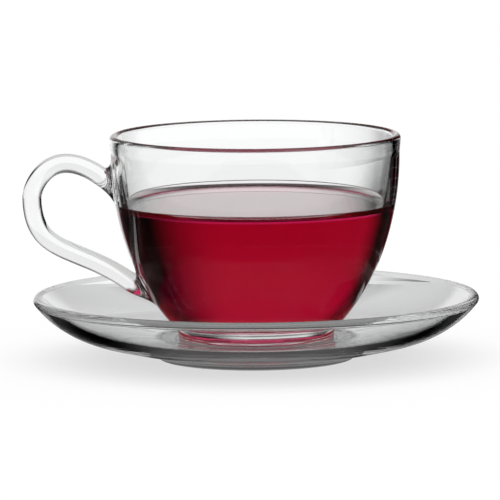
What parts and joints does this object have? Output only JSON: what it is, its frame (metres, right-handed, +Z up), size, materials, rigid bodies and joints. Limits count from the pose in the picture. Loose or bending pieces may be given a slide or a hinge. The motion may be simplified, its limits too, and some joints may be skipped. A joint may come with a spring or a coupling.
{
  "type": "cup of tea",
  "caption": "Clear glass cup with a loop handle, filled with dark red tea, standing on its matching clear glass saucer.",
  "frame": {"origin": "middle of the saucer's foot ring, on the shared axis of saucer and cup, in the plane that stands on the table", "axes": "+Z up along the shared axis, -X towards the cup's handle, +Y away from the viewer when the handle is on the left"},
  "size_m": [0.1416, 0.1384, 0.07],
  "materials": {
    "saucer_glass": "clear pressed glass, smooth and polished",
    "cup_glass": "clear pressed glass, smooth and polished",
    "tea": "clear dark red drink with a still surface"
  },
  "bodies": {
    "root": {"saucer": "saucer_glass", "cup": "cup_glass", "tea": "tea"}
  },
  "joints": []
}
